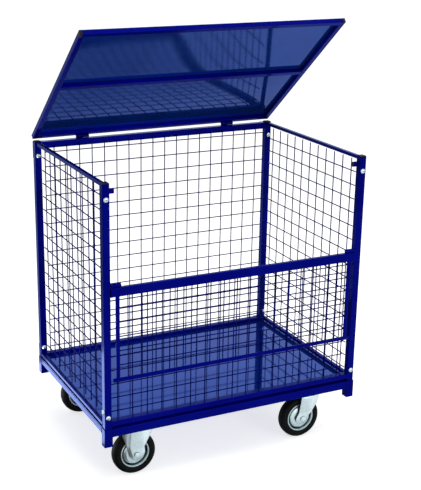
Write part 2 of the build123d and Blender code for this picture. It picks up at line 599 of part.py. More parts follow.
save("kingpins", [Pos(CASTOR_X, s * CASTOR_Y, 0) * kingpin for s in SIDES])

cup_shape = Polygon(
    (0, crown_top),
    (CROWN / 2, crown_top),
    (CROWN / 2 - 3, crown_top + CUP_TALL),
    (0, crown_top + CUP_TALL),
    align=None,
)
crown_mid = (CROWN / 2 - CROWN_BACK) / 2
crown_wide = 2 * (leg_outside + (crown_top - bend_z) * FORK_LEAN)
crown = Pos(crown_mid, 0, (crown_low + crown_top) / 2) * Box(CROWN / 2 + CROWN_BACK, crown_wide, CROWN_TALL)
crown += revolve(Plane.XZ * cup_shape, Axis.Z)
knee_z = (bend_z + crown_top) / 2
swivel_outline = Polygon(
    (-CROWN_BACK, AXLE_Z + FORK_END),
    (-FORK_END - TRAIL, AXLE_Z),
    (FORK_END - TRAIL, AXLE_Z),
    (2 * FORK_END - TRAIL, bend_z),
    (CROWN_FRONT * 0.8, knee_z),
    (CROWN_FRONT, crown_top),
    (-CROWN_BACK, crown_top),
    align=None,
)
swivel_panel = Polygon(
    (-CROWN_BACK * 0.9, bend_z),
    (-FORK_END * 0.8 - TRAIL, AXLE_Z),
    (-FORK_END * 0.5 - TRAIL, panel_low),
    (FORK_END * 0.5 - TRAIL, panel_low),
    (FORK_END * 0.8 - TRAIL, AXLE_Z),
    (FORK_END * 1.3 - TRAIL, bend_z),
    (-CROWN_FRONT * 0.1, crown_low),
    (-CROWN_BACK * 0.9, crown_low),
    align=None,
)
swivel_fork = crown + fork_legs(swivel_outline, swivel_panel, -TRAIL, crown_top)
swivel_fork -= Pos(0, 0, crown_top) * Cylinder(AXLE / 2 + RUNNING_FIT, 8 * CROWN_TALL)
save("swivel_fork_front", [Pos(CASTOR_X, -CASTOR_Y, 0) * swivel_fork])
save("swivel_fork_rear", [Pos(CASTOR_X, CASTOR_Y, 0) * swivel_fork])

# Axle bolts, wheels and tyres
axle_face = leg_outside + PRESS
axle = ALONG_Y * Cylinder(AXLE / 2, 2 * axle_face + AXLE)
axle_head = hexagon(AXLE * 1.5, AXLE * 0.6, 0)
axle = Pos(0, AXLE / 2, 0) * axle + Pos(0, -axle_face, 0) * Rot(90, 0, 0) * axle_head
axle += Pos(0, axle_face, 0) * Rot(-90, 0, 0) * hexagon(AXLE * 1.5, AXLE * 0.8, 0)
save("rigid_axle_bolts", [Pos(-CASTOR_X, s * CASTOR_Y, AXLE_Z) * axle for s in SIDES])
swivel_x = CASTOR_X - TRAIL
save("swivel_axle_front", [Pos(swivel_x, -CASTOR_Y, AXLE_Z) * axle])
save("swivel_axle_rear", [Pos(swivel_x, CASTOR_Y, AXLE_Z) * axle])

tread = WHEEL / 2
flank = TYRE_WIDE / 2
seat_r = RIM / 2
side_r = (tread + seat_r) / 2
tyre_half = [
    (seat_r, flank * 0.9),
    (side_r, flank),
    (tread - 5, flank * 0.9),
    (tread - 1, flank * 0.65),
    (tread, flank * 0.4),
]
tyre_outline = tyre_half + [(r, -w) for r, w in reversed(tyre_half)]
tyre = revolve(Polygon(*tyre_outline, align=None), Axis.Y)
hub_half = leg_inside - STOP_GAP * 1.5
bore_r = AXLE / 2 + RUNNING_FIT
hub_r = AXLE * 1.3
rim_half = [
    (bore_r, hub_half),
    (hub_r, hub_half),
    (hub_r + 2, flank * 0.45),
    (seat_r * 0.72, flank * 0.4),
    (seat_r * 0.8, flank * 0.2),
    (seat_r * 0.86, flank * 0.2),
    (seat_r * 0.9, flank * 0.85),
    (seat_r, flank * 0.85),
]
rim_outline = rim_half + [(r, -w) for r, w in reversed(rim_half)]
rim = revolve(Polygon(*rim_outline, align=None), Axis.Y)
WHEELS = (
    ("rigid_front", -CASTOR_X, -CASTOR_Y),
    ("rigid_rear", -CASTOR_X, CASTOR_Y),
    ("swivel_front", swivel_x, -CASTOR_Y),
    ("swivel_rear", swivel_x, CASTOR_Y),
)
for name, x, y in WHEELS:
    save(f"tyre_{name}", [Pos(x, y, AXLE_Z) * tyre])
    save(f"rim_{name}", [Pos(x, y, AXLE_Z) * rim])
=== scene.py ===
"""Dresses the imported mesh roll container: camera, materials, detail pieces and studio."""
import json
import math

import bmesh
import bpy
from mathutils import Matrix, Vector

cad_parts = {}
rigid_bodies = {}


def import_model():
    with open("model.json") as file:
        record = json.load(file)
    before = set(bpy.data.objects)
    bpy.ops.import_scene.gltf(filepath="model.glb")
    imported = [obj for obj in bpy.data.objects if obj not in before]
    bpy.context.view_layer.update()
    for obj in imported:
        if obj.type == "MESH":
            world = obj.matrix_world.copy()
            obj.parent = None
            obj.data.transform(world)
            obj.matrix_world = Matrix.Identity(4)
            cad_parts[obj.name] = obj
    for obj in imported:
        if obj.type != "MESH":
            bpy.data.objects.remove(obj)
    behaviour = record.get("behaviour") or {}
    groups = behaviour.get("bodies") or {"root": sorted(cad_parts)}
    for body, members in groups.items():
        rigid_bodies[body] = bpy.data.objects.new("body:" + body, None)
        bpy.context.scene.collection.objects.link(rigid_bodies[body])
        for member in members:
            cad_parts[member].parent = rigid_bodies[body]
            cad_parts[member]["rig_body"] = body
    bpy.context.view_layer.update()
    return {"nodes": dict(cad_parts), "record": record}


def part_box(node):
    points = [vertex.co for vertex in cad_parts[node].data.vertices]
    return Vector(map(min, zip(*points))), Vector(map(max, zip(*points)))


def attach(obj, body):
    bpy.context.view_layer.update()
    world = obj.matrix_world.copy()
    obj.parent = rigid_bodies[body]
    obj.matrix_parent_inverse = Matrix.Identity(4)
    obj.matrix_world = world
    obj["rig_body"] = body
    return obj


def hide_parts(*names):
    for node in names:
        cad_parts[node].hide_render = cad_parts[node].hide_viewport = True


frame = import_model()
nodes = frame["nodes"]
record = frame["record"]
scene = bpy.context.scene
MM = 0.001
X, Y, Z = range(3)

# Camera, solved from the photograph's wire walls, posts and platform edges
CAM_POS = Vector((-1.7130, -3.46553, 1.9483))
YAW, PITCH, ROLL = math.radians(25.4), math.radians(17.67), math.radians(0.52)
FOCAL_PX, CENTRE_X, CENTRE_Y = 1097.1, 177.3, 245.1
IMAGE_W, IMAGE_H = 421, 490
SENSOR = 36.0
VIEW_END = 200.0

forward = Vector((
    math.sin(YAW) * math.cos(PITCH),
    math.cos(YAW) * math.cos(PITCH),
    -math.sin(PITCH),
))
right = Vector((math.cos(YAW), -math.sin(YAW), 0.0))
up = right.cross(forward)
cam_right = math.cos(ROLL) * right + math.sin(ROLL) * up
cam_up = -math.sin(ROLL) * right + math.cos(ROLL) * up
turn = Matrix((cam_right, cam_up, -forward)).transposed().to_4x4()
cam_data = bpy.data.cameras.new("photo_camera")
cam_data.sensor_fit = "AUTO"
cam_data.sensor_width = SENSOR
cam_data.lens = FOCAL_PX * SENSOR / IMAGE_H
cam_data.shift_x = (IMAGE_W / 2 - CENTRE_X) / IMAGE_H
cam_data.shift_y = (CENTRE_Y - IMAGE_H / 2) / IMAGE_H
cam_data.clip_end = VIEW_END
camera = bpy.data.objects.new("photo_camera", cam_data)
camera.matrix_world = Matrix.Translation(CAM_POS) @ turn
scene.collection.objects.link(camera)
scene.camera = camera
scene.view_settings.view_transform = "Standard"

# Materials. Each kind has two noise scales, for its tone and for its roughness
PAINT_NOISE = (4.0, 30.0)
METAL_NOISE = (160.0, 120.0)
DULL_NOISE = (25.0, 80.0)
FULL_DETAIL, SMOOTH_DETAIL = 3.0, 2.0
TONE_START, TONE_STOP = 0.35, 0.65
PEEL_DEPTH, GRAIN_DEPTH = 0.5 * MM, 0.4 * MM
PAINT_IOR = 1.1
# Painted shade: ambient occlusion darkens the plated metal towards this colour in its corners and
# grooves, where shade falls
PAINTED_SHADE = (0.03, 0.06, 0.07, 1.0)
PAINTED_SHADE_REACH = 20.0 * MM
PAINTED_SHADE_SPAN = (-0.2, 1.2)
PAINTED_SHADE_SAMPLES = 8


def new_material(name):
    mat = bpy.data.materials.new(name)
    mat.use_nodes = True
    tree = mat.node_tree
    shader = tree.nodes["Principled BSDF"]
    coords = tree.nodes.new("ShaderNodeTexCoord")
    return mat, tree, shader, coords.outputs["Object"]


def noise(tree, where, scale, detail=FULL_DETAIL):
    tex = tree.nodes.new("ShaderNodeTexNoise")
    tex.inputs["Scale"].default_value = scale
    tex.inputs["Detail"].default_value = detail
    tree.links.new(where, tex.inputs["Vector"])
    return tex.outputs["Fac"]


def two_tone(tree, fac, low, high):
    ramp = tree.nodes.new("ShaderNodeValToRGB")
    ramp.color_ramp.elements[0].position = TONE_START
    ramp.color_ramp.elements[0].color = (*low, 1.0)
    ramp.color_ramp.elements[1].position = TONE_STOP
    ramp.color_ramp.elements[1].color = (*high, 1.0)
    tree.links.new(fac, ramp.inputs["Fac"])
    return ramp.outputs["Color"]


def spread(tree, fac, span):
    node = tree.nodes.new("ShaderNodeMapRange")
    node.inputs["To Min"].default_value = span[0]
    node.inputs["To Max"].default_value = span[1]
    tree.links.new(fac, node.inputs["Value"])
    return node.outputs["Result"]


def bump(tree, shader, fac, strength, depth):
    node = tree.nodes.new("ShaderNodeBump")
    node.inputs["Strength"].default_value = strength
    node.inputs["Distance"].default_value = depth
    tree.links.new(fac, node.inputs["Height"])
    tree.links.new(node.outputs["Normal"], shader.inputs["Normal"])


def paint(name, low, high, rough, peel, peel_scale, edge, shine):
    """Gloss paint with orange peel; edge tints its gloss."""
    mat, tree, shader, where = new_material(name)
    tone_scale, rough_scale = PAINT_NOISE
    tone = two_tone(tree, noise(tree, where, tone_scale), low, high)
    tree.links.new(tone, shader.inputs["Base Color"])
    dullness = spread(tree, noise(tree, where, rough_scale), rough)
    tree.links.new(dullness, shader.inputs["Roughness"])
    bump(tree, shader, noise(tree, where, peel_scale, SMOOTH_DETAIL), peel, PEEL_DEPTH)
    shader.inputs["Metallic"].default_value = shine
    shader.inputs["IOR"].default_value = PAINT_IOR
    shader.inputs["Specular Tint"].default_value = (*edge, 1.0)
    return mat


def metal(name, low, high, rough, grain, grain_scale):
    """Plated metal, darkened towards a dark teal in its corners and grooves as painted shade."""
    mat, tree, shader, where = new_material(name)
    tone_scale, rough_scale = METAL_NOISE
    shader.inputs["Metallic"].default_value = 1.0
    clean = two_tone(tree, noise(tree, where, tone_scale), low, high)
    corner = tree.nodes.new("ShaderNodeAmbientOcclusion")
    corner.samples = PAINTED_SHADE_SAMPLES
    corner.inputs["Distance"].default_value = PAINTED_SHADE_REACH
    tree.links.new(clean, corner.inputs["Color"])
    # painted shade mixed in where the surface is closed in by nearby faces
    painted_shade = tree.nodes.new("ShaderNodeMix")
    painted_shade.data_type = "RGBA"
    painted_shade.inputs["A"].default_value = PAINTED_SHADE
    open_share = spread(tree, corner.outputs["AO"], PAINTED_SHADE_SPAN)
    tree.links.new(open_share, painted_shade.inputs["Factor"])
    tree.links.new(clean, painted_shade.inputs["B"])
    tree.links.new(painted_shade.outputs["Result"], shader.inputs["Base Color"])
    dullness = spread(tree, noise(tree, where, rough_scale), rough)
    tree.links.new(dullness, shader.inputs["Roughness"])
    bump(tree, shader, noise(tree, where, grain_scale), grain, GRAIN_DEPTH)
    return mat


def dull(name, low, high, rough, grain, grain_scale, level):
    """Plastic or rubber with a fine grain."""
    mat, tree, shader, where = new_material(name)
    tone_scale, rough_scale = DULL_NOISE
    tone = two_tone(tree, noise(tree, where, tone_scale), low, high)
    tree.links.new(tone, shader.inputs["Base Color"])
    dullness = spread(tree, noise(tree, where, rough_scale), rough)
    tree.links.new(dullness, shader.inputs["Roughness"])
    bump(tree, shader, noise(tree, where, grain_scale, SMOOTH_DETAIL), grain, GRAIN_DEPTH)
    shader.inputs["Specular IOR Level"].default_value = level
    return mat


MATERIALS = {
    "frame_paint": paint(
        "frame_paint", (0.0, 0.001, 0.17), (0.001, 0.003, 0.205), rough=(0.12, 0.2),
        peel=0.06, peel_scale=350.0, edge=(0.7, 0.85, 1.0), shine=0.5,
    ),
    "sheet_paint": paint(
        "sheet_paint", (0.005, 0.042, 0.28), (0.007, 0.053, 0.32), rough=(0.05, 0.09),
        peel=0.03, peel_scale=14.0, edge=(0.96, 1.0, 1.0), shine=0.67,
    ),
    # Painted light: a lighter, glossier copy of the sheet paint, for the deck alone
    "lit_deck_paint": paint(
        "lit_deck_paint", (0.004, 0.048, 0.36), (0.007, 0.060, 0.40), rough=(0.04, 0.07),
        peel=0.03, peel_scale=14.0, edge=(0.98, 1.0, 1.0), shine=0.72,
    ),
    # Painted shade: darker than the frame paint, though the wires carry the same blue paint
    "wire_paint": paint(
        "wire_paint", (0.0, 0.002, 0.11), (0.001, 0.004, 0.15), rough=(0.45, 0.6),
        peel=0.06, peel_scale=400.0, edge=(0.7, 0.85, 1.0), shine=0.0,
    ),
    "zinc_plate": metal(
        "zinc_plate", (0.62, 0.76, 0.79), (0.74, 0.88, 0.91), rough=(0.24, 0.36),
        grain=0.08, grain_scale=700.0,
    ),
    "black_plastic": dull(
        "black_plastic", (0.004, 0.004, 0.006), (0.008, 0.008, 0.010), rough=(0.4, 0.55),
        grain=0.15, grain_scale=900.0, level=0.2,
    ),
    "black_rubber": dull(
        "black_rubber", (0.0015, 0.002, 0.0025), (0.003, 0.004, 0.0045), rough=(0.45, 0.65),
        grain=0.2, grain_scale=700.0, level=0.09,
    ),
}

SLOT_OF = {entry["node"]: entry["material_slot"] for entry in record["subparts"]}
for name, obj in nodes.items():
    # The deck sheet carries the sheet paint, but takes its lighter copy here as painted light
    finish = "lit_deck_paint" if name == "deck_sheet" else SLOT_OF[name]
    obj.data.materials.clear()
    obj.data.materials.append(MATERIALS[finish])

# Detail pieces. A turn is the angle between two faces, in degrees
SHADE_TURN = 35.0       # larger turns stay sharp in the shading
WIRE_TURN = 50.0        # the same for wires
BEAD_TURN = 60.0        # the same for weld beads
FLAT_TURN = 0.5         # smaller turns count as flat
EDGE_TURN = 35.0        # larger turns are rounded
EDGE_SEGMENTS, EDGE_PROFILE = 2, 0.5
NEAR = 1e-6             # metres; points closer than this are one


def add_piece(name, bm, body, slot, replaced=(), sharp=SHADE_TURN):
    bmesh.ops.recalc_face_normals(bm, faces=bm.faces)
    mesh = bpy.data.meshes.new(name)
    bm.to_mesh(mesh)
    bm.free()
    mesh.shade_smooth()
    mesh.set_sharp_from_angle(angle=math.radians(sharp))
    mesh.materials.append(MATERIALS[slot])
    piece = bpy.data.objects.new(name, mesh)
    scene.collection.objects.link(piece)
    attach(piece, body)
    if replaced:
        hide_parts(*replaced)


def add_form(node, bm, sharp=SHADE_TURN):
    """A piece that stands for one CAD node."""
    add_piece(node + "_form", bm, nodes[node]["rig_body"], SLOT_OF[node], (node,), sharp)


def cad_mesh(node):
    """The node's mesh with its split corners joined."""
    bm = bmesh.new()
    bm.from_mesh(nodes[node].data)
    bmesh.ops.remove_doubles(bm, verts=bm.verts, dist=NEAR)
    return bm


def round_edges(bm, width, clamp):
    """Merges flat faces and rounds the sharp edges."""
    flat, sharp = math.radians(FLAT_TURN), math.radians(EDGE_TURN)
    bmesh.ops.dissolve_limit(bm, angle_limit=flat, verts=bm.verts, edges=bm.edges)
    edges = [e for e in bm.edges if e.is_manifold and e.calc_face_angle(0.0) > sharp]
    bmesh.ops.bevel(
        bm, geom=edges, offset=width, offset_type="OFFSET", segments=EDGE_SEGMENTS,
        profile=EDGE_PROFILE, affect="EDGES", clamp_overlap=clamp,
    )


def softened(node, width):
    """A copy of a node with rounded edges."""
    bm = cad_mesh(node)
    round_edges(bm, width, False)
    add_form(node, bm)


def box_of(points):
    """Lowest and highest corner of some points."""
    low = Vector([min(p[i] for p in points) for i in range(3)])
    high = Vector([max(p[i] for p in points) for i in range(3)])
    return low, high


def solid_boxes(node):
    """Lowest and highest corner of every separate solid of a node."""
    bm = cad_mesh(node)
    seen = set()
    boxes = []
    for start in bm.verts:
        if start.index in seen:
            continue
        stack = [start]
        seen.add(start.index)
        points = []
        while stack:
            vert = stack.pop()
            points.append(vert.co.copy())
            for edge in vert.link_edges:
                other = edge.other_vert(vert)
                if other.index not in seen:
                    seen.add(other.index)
                    stack.append(other)
        boxes.append(box_of(points))
    bm.free()
    return boxes


def outer_boxes(node):
    """Boxes of a node's solids without those inside another, such as tube bores."""
    boxes = solid_boxes(node)
    kept = []
    for low, high in boxes:
        inside = False
        for other_low, other_high in boxes:
            wider = sum(other_high - other_low) > sum(high - low) + NEAR
            covers = all(
                other_low[i] <= low[i] + NEAR and other_high[i] >= high[i] - NEAR
                for i in range(3)
            )
            inside = inside or (wider and covers)
        if not inside:
            kept.append((low, high))
    return kept


def along_axis(run, length=1.0):
    """A vector along one of the three axes; a negative length turns it round."""
    return Vector([length if i == run else 0.0 for i in range(3)])


def across(axis):
    """Two directions at right angles to an axis."""
    side = axis.orthogonal().normalized()
    return side, axis.cross(side).normalized()


def ring(middle, axis, radius, steps):
    """Points of a circle about an axis."""
    one, two = across(axis)
    angles = [2 * math.pi * i / steps for i in range(steps)]
    return [middle + (one * math.cos(a) + two * math.sin(a)) * radius for a in angles]


def ring_tube(bm, rings, closed=False):
    """Faces between rings of points; the first and last are capped unless closed."""
    made = [[bm.verts.new(p) for p in points] for points in rings]
    pairs = list(zip(made, made[1:]))
    if closed:
        pairs.append((made[-1], made[0]))
    count = len(made[0])
    for first, second in pairs:
        for i in range(count):
            j = (i + 1) % count
            bm.faces.new((first[i], first[j], second[j], second[i]))
    if not closed:
        bm.faces.new(list(reversed(made[0])))
        bm.faces.new(made[-1])


def lathe(bm, centre, axis, profile, steps, closed):
    """Rings of (radius, height along the axis) turned about the axis."""
    rings = [ring(centre + axis * height, axis, radius, steps) for radius, height in profile]
    ring_tube(bm, rings, closed)


# Welded wires: round rods with narrowed ends and a weld nugget at each crossing
WIRE_STEPS = 12
WIRE_TIP = 0.35         # length of the narrowed end, in radii
WIRE_END = 0.65         # radius at the very end, in radii
NUGGET_WIDE, NUGGET_DEEP = 2.6 * MM, 1.7 * MM
NUGGET_DETAIL = 2
SIDE_TRIM = 4.0 * MM    # cut off the tops of the side uprights, so none shows over the rail


def wire_form(node, layer, trim=0.0):
    """Rods and nuggets of one panel; layer is the axis through the panel."""
    bm = bmesh.new()
    rods = []
    for low, high in solid_boxes(node):
        size = high - low
        run = max(range(3), key=lambda i: size[i])
        rods.append((low, high, run))
        middle = (low + high) / 2
        half = size[run] / 2
        if run == Z:
            half -= trim / 2
            middle.z -= trim / 2
        radius = min(size) / 2
        tip = radius * WIRE_TIP
        profile = [
            (radius * WIRE_END, -half),
            (radius, -half + tip),
            (radius, half - tip),
            (radius * WIRE_END, half),
        ]
        lathe(bm, middle, along_axis(run), profile, WIRE_STEPS, False)
    rows = [(low, high) for low, high, run in rods if run != Z]
    uprights = [(low, high) for low, high, run in rods if run == Z]
    flat = X if layer == Y else Y
    size = Vector((NUGGET_WIDE, NUGGET_WIDE, NUGGET_WIDE))
    size[layer] = NUGGET_DEEP
    for row_low, row_high in rows:
        for up_low, up_high in uprights:
            spot = Vector((0.0, 0.0, (row_low.z + row_high.z) / 2))
            spot[flat] = (up_low[flat] + up_high[flat]) / 2
            faces = row_low[layer] + row_high[layer] + up_low[layer] + up_high[layer]
            spot[layer] = faces / 4
            on_row = row_low[flat] < spot[flat] < row_high[flat]
            on_upright = up_low.z < spot.z < up_high.z
            if on_row and on_upright:
                place = Matrix.Translation(spot) @ Matrix.Diagonal((*size, 1.0))
                bmesh.ops.create_icosphere(
                    bm, subdivisions=NUGGET_DETAIL, radius=1.0, matrix=place,
                )
    add_form(node, bm, WIRE_TURN)


wire_form("left_mesh", X, SIDE_TRIM)
wire_form("right_mesh", X, SIDE_TRIM)
wire_form("rear_mesh", Y)
wire_form("front_mesh", Y)
wire_form("gate_mesh", Y)

# Lid sheet: fixed along three rails and bowed between them, up in front and down behind
LID_SPIN = Matrix.Rotation(math.radians(-40.0), 3, "X")     # from closed to its place at rest
SHEET_BOW = 2.5 * MM
SHEET_HOLD = 6          # how late the bow dies out towards the side rails
SHEET_STEPS = (72, 56)


def closed_lid_box(node):
    """Lowest and highest corner of a lid node with the lid turned flat."""
    return box_of([LID_SPIN.inverted() @ v.co for v in nodes[node].data.vertices])


def lid_sheet_form():
    low, high = closed_lid_box("lid_sheet")
    steps_x, steps_y = SHEET_STEPS
    bm = bmesh.new()
    layers = []
    for level in (low.z, high.z):
        grid = []
        for j in range(steps_y + 1):
            v = j / steps_y
            line = []
            for i in range(steps_x + 1):
                h = i / steps_x
                hold = 1.0 - abs(2.0 * h - 1.0) ** SHEET_HOLD
                bow = SHEET_BOW * hold * math.sin(2.0 * math.pi * v)
                x = low.x + (high.x - low.x) * h
                y = low.y + (high.y - low.y) * v
                line.append(bm.verts.new(LID_SPIN @ Vector((x, y, level + bow))))
            grid.append(line)
        layers.append(grid)
    for grid in layers:
        for j in range(steps_y):
            for i in range(steps_x):
                near, far = grid[j], grid[j + 1]
                bm.faces.new((near[i], near[i + 1], far[i + 1], far[i]))
    border = [(j, 0) for j in range(steps_y)]
    border += [(steps_y, i) for i in range(steps_x)]
    border += [(j, steps_x) for j in range(steps_y, 0, -1)]
    border += [(0, i) for i in range(steps_x, 0, -1)]
    under, over = layers
    for (j, i), (m, n) in zip(border, border[1:] + border[:1]):
        bm.faces.new((under[j][i], under[m][n], over[m][n], over[j][i]))
    add_form("lid_sheet", bm)


lid_sheet_form()

# Castor wheels: tyre with a ribbed tread, pressed rim with a bead and a deep groove.
# Half profiles in millimetres: radius, distance from the middle of the wheel
TYRE_SIDE = [
    (55.0, 17.4), (57.5, 18.8), (61.0, 19.6), (64.0, 20.0), (67.5, 20.0), (70.5, 19.6),
    (73.5, 18.6), (76.0, 16.8), (77.8, 14.4), (78.8, 11.6), (79.3, 9.4), (78.4, 8.9),
    (78.4, 8.1), (79.6, 7.6), (79.9, 4.0), (80.0, 1.0),
]
RIM_SIDE = [
    (6.1, 22.3), (11.0, 22.5), (14.2, 22.0), (15.2, 20.8), (15.9, 17.6), (17.6, 16.6),
    (24.0, 16.9), (32.0, 16.4), (38.0, 14.8), (41.6, 12.2), (43.0, 9.0), (43.6, 4.0),
    (44.4, 3.2), (45.6, 3.2), (46.4, 4.2), (48.6, 12.5), (49.8, 16.0), (51.0, 17.4),
    (52.8, 17.6), (54.4, 16.6), (55.0, 15.2),
]
WHEEL_STEPS = 96


def mirrored(side):
    """A half profile and its mirror image, in metres."""
    half = [(r * MM, h * MM) for r, h in side]
    return half + [(r, -h) for r, h in reversed(half)]


def wheel_forms(wheel):
    for part, side in (("tyre", TYRE_SIDE), ("rim", RIM_SIDE)):
        node = f"{part}_{wheel}"
        low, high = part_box(node)
        bm = bmesh.new()
        lathe(bm, (low + high) / 2, along_axis(Y), mirrored(side), WHEEL_STEPS, True)
        add_form(node, bm)


for wheel in ("rigid_front", "rigid_rear", "swivel_front", "swivel_rear"):
    wheel_forms(wheel)

# Domed bolts with a hexagon recess. Millimetres; profile of radius and height over the seat
HEAD_WIDE, HEAD_TALL = 18.0, 5.0
SHANK, SHANK_TIP, TIP_LONG = 4.0, 3.3, 0.8
HEAD = [
    (2.6, 2.4), (2.75, 4.75), (3.2, 4.95), (4.8, 4.55), (6.6, 3.6), (8.1, 2.1),
    (8.85, 0.7), (HEAD_WIDE / 2, 0.0), (SHANK, 0.0),
]
RECESS_RINGS = 2            # the first rings of the head have the recess's six sides
RECESS_SIDE = math.pi / 3   # angle that one of the six sides takes up
BOLT_STEPS = 24


def bolt_form():
    bm = bmesh.new()
    for low, high in solid_boxes("panel_bolts"):
        size = high - low
        run = max(range(3), key=lambda i: abs(size[i] - HEAD_WIDE * MM))
        middle = (low + high) / 2
        outward = -1.0 if run == Y or middle.x < 0 else 1.0
        axis = along_axis(run, outward)
        top = high[run] if outward > 0 else low[run]
        seat = middle.copy()
        seat[run] = top - outward * HEAD_TALL * MM
        length = size[run] / MM - HEAD_TALL
        profile = HEAD + [(SHANK, TIP_LONG - length), (SHANK_TIP, -length)]
        one, two = across(axis)
        rings = []
        for number, (radius, height) in enumerate(profile):
            spot = seat + axis * height * MM
            points = []
            for i in range(BOLT_STEPS):
                angle = 2 * math.pi * i / BOLT_STEPS
                r = radius
                if number < RECESS_RINGS:
                    r = radius / math.cos(angle % RECESS_SIDE - RECESS_SIDE / 2)
                points.append(spot + (one * math.cos(angle) + two * math.sin(angle)) * r * MM)
            rings.append(points)
        ring_tube(bm, rings)
    add_form("panel_bolts", bm)


bolt_form()

# Weld beads round the ends of tubes, lumpy along their length
FRAME_BEAD, LID_BEAD = 1.5 * MM, 1.4 * MM
BEAD_STEP = 2.4 * MM
BEAD_SIDES, BEAD_FEWEST = 6, 4
BEAD_DIP, BEAD_END = 0.7, 0.5       # radius between the lumps and at the ends, in radii
WELDED_TUBES = (
    ("side_top_rails", Y), ("side_bottom_rails", Y), ("rear_top_rail", X),
    ("rear_bottom_rail", X), ("front_bottom_rail", X), ("base_long_rails", X),
    ("base_end_rails", Y),
)


def bead(bm, start, end, radius):
    along = end - start
    axis = along.normalized()
    steps = max(BEAD_FEWEST, int(along.length / BEAD_STEP))
    rings = []
    for k in range(steps + 1):
        swell = radius * BEAD_DIP if k % 2 else radius
        if k in (0, steps):
            swell = radius * BEAD_END
        rings.append(ring(start + along * (k / steps), axis, swell, BEAD_SIDES))
    ring_tube(bm, rings)


def tube_end_welds(bm, low, high, run, radius, spin=None):
    """Four beads round each end of a tube that lies along one axis."""
    p, q = [i for i in range(3) if i != run]
    for place in (low[run], high[run]):
        corners = []
        for pick_p, pick_q in ((low, low), (high, low), (high, high), (low, high)):
            spot = Vector((0.0, 0.0, 0.0))
            spot[run] = place
            spot[p] = pick_p[p]
            spot[q] = pick_q[q]
            corners.append(spin @ spot if spin else spot)
        for first, second in zip(corners, corners[1:] + corners[:1]):
            bead(bm, first, second, radius)


def frame_welds():
    bm = bmesh.new()
    for node, run in WELDED_TUBES:
        for low, high in outer_boxes(node):
            tube_end_welds(bm, low, high, run, FRAME_BEAD)
    add_piece("frame_welds", bm, "root", "frame_paint", sharp=BEAD_TURN)


def lid_welds():
    bm = bmesh.new()
    low, high = closed_lid_box("lid_mid_rail")
    tube_end_welds(bm, low, high, X, LID_BEAD, LID_SPIN)
    add_piece("lid_welds", bm, "lid", "frame_paint", sharp=BEAD_TURN)


frame_welds()
lid_welds()

# Castor forks: legs pressed from sheet, sloping from a raised panel down to flat wings.
# Sizes are in millimetres, heights over the floor
AXLE_Z, FORK_END = 80.0, 23.0       # height of the axle, radius of the leg's round end
LEG_IN, LEG_OUT = 23.0, 27.0        # faces of the leg, from the middle of the wheel
BEND_Z, LEAN = 104.0, 0.2           # above the bend the leg leans out by this slope
PLATE_UNDER, CROWN_UNDER = 193.0, 174.0     # undersides that the legs grow from
CROWN_SINK = 0.5                    # the legs of swivel forks run this far into the crown
CUT_OVER = 0.02                     # a node's own legs are cut off this far over the underside
PRESS, SLOPE = 5.0, 13.0            # rise of the panel, width of its sloping sides
PRESS_FOOT, PRESS_FOOT_RUN = 59.0, 8.0      # where the panel starts, and its run to full rise
PRESS_TOP_OVER, PRESS_TOP_RUN = 1.0, 7.0    # where it would end over the leg, and that run
SHOULDER_WIDE, CORNER = 2.0, 0.8    # half width of the panel's soft edges, bevel of the leg's
FORK_EDGE = 1.0                     # rounding of the plate and the crown
LEG_STEP, END_STEPS, END_LIFT = 4.0, 10, 0.15
SHOULDER = 0.84                     # height of a soft edge's outer line, as a share of the rise

# Limits near the round end, as shares of half the leg's width
CORNER_SHARE, SHOULDER_SHARE, WING_SHARE = 0.2, 0.1, 0.3

# Rows of height, left and right edge from the axle
RIGID_EDGE = [
    (AXLE_Z, -FORK_END, FORK_END), (116.0, -36.0, 36.0), (186.2, -64.0, 64.0),
    (186.21, -42.5, 42.5), (PLATE_UNDER, -42.5, 42.5),
]
RIGID_PANEL = [
    (65.0, -10.0, 10.0), (AXLE_Z, -15.0, 15.0), (BEND_Z, -24.0, 24.0),
    (PLATE_UNDER, -25.0, 25.0),
]
SWIVEL_EDGE = [
    (AXLE_Z, -FORK_END, FORK_END), (103.0, -10.0, 45.0), (142.0, -10.0, 60.8),
    (CROWN_UNDER + CROWN_SINK, -10.0, 64.4),
]
SWIVEL_PANEL = [
    (65.0, -10.0, 10.0), (AXLE_Z, -15.0, 15.0), (BEND_Z, -4.6, 29.9),
    (CROWN_UNDER + CROWN_SINK, -4.6, 41.9),
]


def edges_at(table, z):
    """Left and right edge at a height, straight between the rows of a table."""
    if z <= table[0][0]:
        return table[0][1], table[0][2]
    for (z0, l0, r0), (z1, l1, r1) in zip(table, table[1:]):
        if z <= z1:
            share = (z - z0) / (z1 - z0)
            return l0 + (l1 - l0) * share, r0 + (r1 - r0) * share
    return table[-1][1], table[-1][2]


def ease(value):
    """From 0 to 1 with a soft start and end."""
    value = min(1.0, max(0.0, value))
    return value * value * (3.0 - 2.0 * value)


def leg_heights(edge):
    """Heights of the leg's rings, which follow its round end and then an even step."""
    top = edge[-1][0]
    turns = [math.pi / 2 * k / END_STEPS for k in range(END_STEPS)]
    heights = [AXLE_Z - FORK_END * math.cos(a) for a in turns]
    heights[0] += END_LIFT
    heights += [AXLE_Z + LEG_STEP * k for k in range(int((top - AXLE_Z) / LEG_STEP) + 1)]
    return sorted(set(heights + [row[0] for row in edge] + [BEND_Z]))


